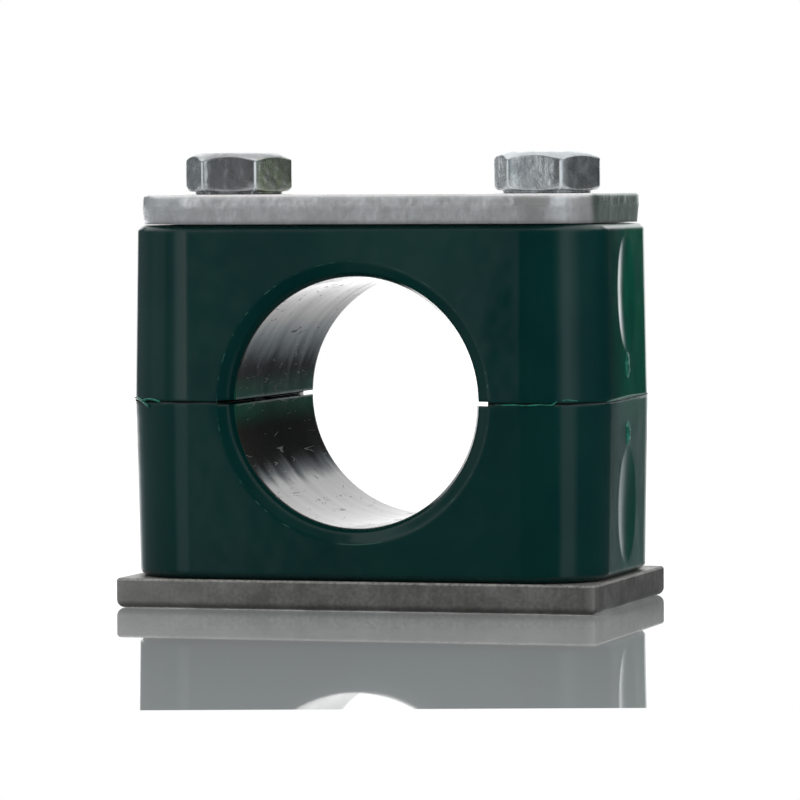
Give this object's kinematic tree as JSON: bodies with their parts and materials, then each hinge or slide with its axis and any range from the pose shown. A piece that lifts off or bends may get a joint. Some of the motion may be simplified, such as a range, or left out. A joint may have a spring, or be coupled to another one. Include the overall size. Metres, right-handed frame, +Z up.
{
  "type": "hydraulic tube clamp",
  "caption": "Light-series tube clamp: green plastic clamp halves round a tube bore, between a steel weld plate and a cover plate, held by hexagon bolts.",
  "frame": {"origin": "centre of the weld plate's underside", "axes": "+X along the plates, +Y along the tube bore, +Z up from the weld plate to the bolt heads"},
  "size_m": [0.0506, 0.03, 0.0463],
  "materials": {
    "weld_plate_steel": "dark phosphated",
    "clamp_plastic": "glossy moulded polypropylene",
    "cover_plate_steel": "bright, punched",
    "zinc_plated_bolt": "zinc plated"
  },
  "bodies": {
    "weld_base": {"weld_plate": "weld_plate_steel", "lower_clamp_half": "clamp_plastic"},
    "clamp_top": {"upper_clamp_half": "clamp_plastic", "cover_plate": "cover_plate_steel"},
    "left_bolt": {"left_bolt": "zinc_plated_bolt"},
    "right_bolt": {"right_bolt": "zinc_plated_bolt"}
  },
  "joints": [
    {"name": "clamp_opening", "type": "slide", "parent": "weld_base", "child": "clamp_top", "axis": [0, 0, 1], "range_m": [0, 0.004]},
    {"name": "left_bolt_turn", "type": "hinge", "parent": "clamp_top", "child": "left_bolt", "pos_m": [-0.0165, 0, 0.042], "axis": [0, 0, 1], "range_deg": [0, 1440]},
    {"name": "right_bolt_turn", "type": "hinge", "parent": "clamp_top", "child": "right_bolt", "pos_m": [0.0165, 0, 0.042], "axis": [0, 0, 1], "range_deg": [0, 1440]}
  ],
  "couplings": [
    {"joint": "left_bolt_turn", "follows": "clamp_opening", "rad_per_m": 6283.2},
    {"joint": "right_bolt_turn", "follows": "clamp_opening", "rad_per_m": 6283.2}
  ]
}
